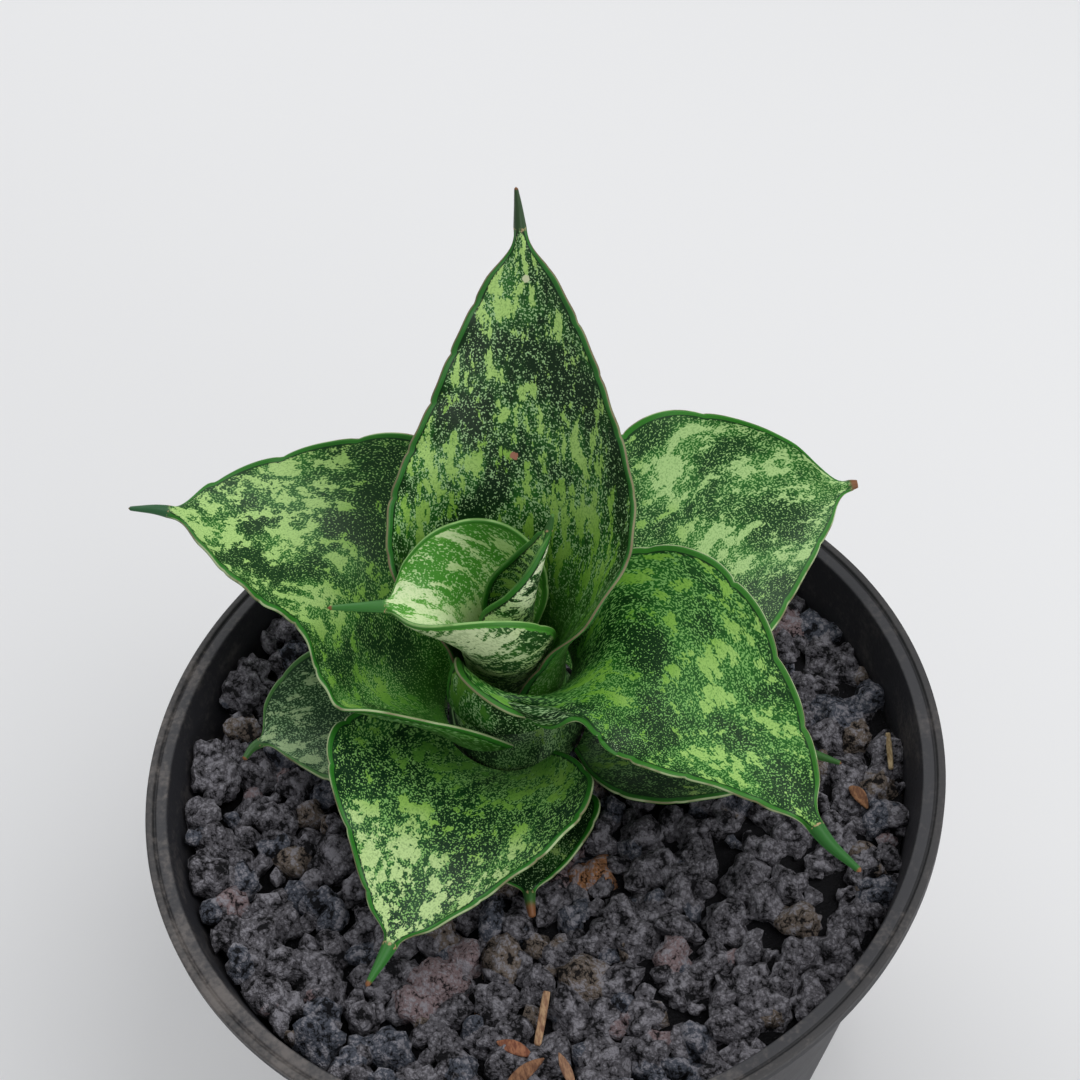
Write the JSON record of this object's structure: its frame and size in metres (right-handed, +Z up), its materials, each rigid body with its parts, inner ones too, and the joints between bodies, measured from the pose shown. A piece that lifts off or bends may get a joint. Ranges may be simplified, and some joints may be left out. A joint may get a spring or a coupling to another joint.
{
  "type": "potted snake plant",
  "caption": "Small snake plant in a round nursery pot: a rosette of broad, mottled, cupped leaves with awl tips above black lava gravel.",
  "frame": {"origin": "centre of the pot's base, on the plane that it stands on", "axes": "+Z up along the pot's axis, -Y towards the front, where the rosette opens, +X to the viewer's right"},
  "size_m": [0.16, 0.16, 0.2178],
  "materials": {
    "pot_plastic": "thin moulded nursery-pot plastic, dusty and slightly rough",
    "lava_gravel": "dry porous black lava stone, fully rough",
    "stalk": "fibrous green stem, dull",
    "leaf": "waxy succulent leaf, dark green mottled with pale yellow-green, low sheen",
    "dry_husk": "dry brown plant husk, matte"
  },
  "bodies": {
    "root": {"pot": "pot_plastic", "gravel": "lava_gravel", "stem": "stalk", "leaf_01_spear": "leaf", "leaf_02_cup": "leaf", "leaf_03_back": "leaf", "leaf_04_right_front": "leaf", "leaf_05_left": "leaf", "leaf_06_right_back": "leaf", "leaf_07_left_front": "leaf", "leaf_08_right_low": "leaf", "leaf_09_left_low": "leaf", "leaf_10_front_low": "leaf", "twig_front": "dry_husk", "twig_right": "dry_husk", "husk_front_1": "dry_husk", "husk_front_2": "dry_husk", "husk_front_3": "dry_husk", "husk_right": "dry_husk"}
  },
  "joints": []
}
